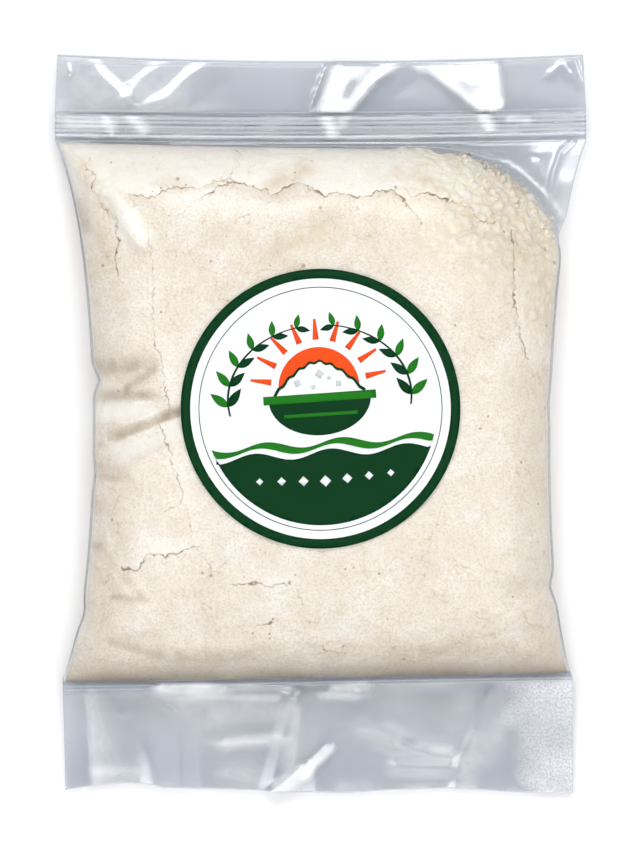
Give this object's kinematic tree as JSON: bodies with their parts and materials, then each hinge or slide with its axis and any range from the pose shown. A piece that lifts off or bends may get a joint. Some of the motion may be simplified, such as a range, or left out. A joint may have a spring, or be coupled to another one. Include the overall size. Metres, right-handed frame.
{
  "type": "press-to-close pouch of salt powder",
  "caption": "Clear press-to-close pouch filled with pale salt powder, lying on its back, with a ribbed closing strip, a heat-sealed bottom and a round sticker.",
  "frame": {"origin": "on the surface the pack lies on, under the middle of its bounding box", "axes": "+Y from the sealed bottom towards the closing strip, +X to the right as the front is looked at with the strip up, +Z out of the front, upwards"},
  "size_m": [0.1524, 0.2124, 0.0322],
  "materials": {
    "powder_in_film": "clear glossy film tight over a matt cream powder",
    "clear_plastic": "clear glossy plastic, milky where it is ribbed",
    "sticker_paper": "satin white sticker with a dark green rim"
  },
  "bodies": {
    "root": {"filled_pouch": "powder_in_film", "closing_strip": "clear_plastic", "sticker": "sticker_paper"}
  },
  "joints": []
}
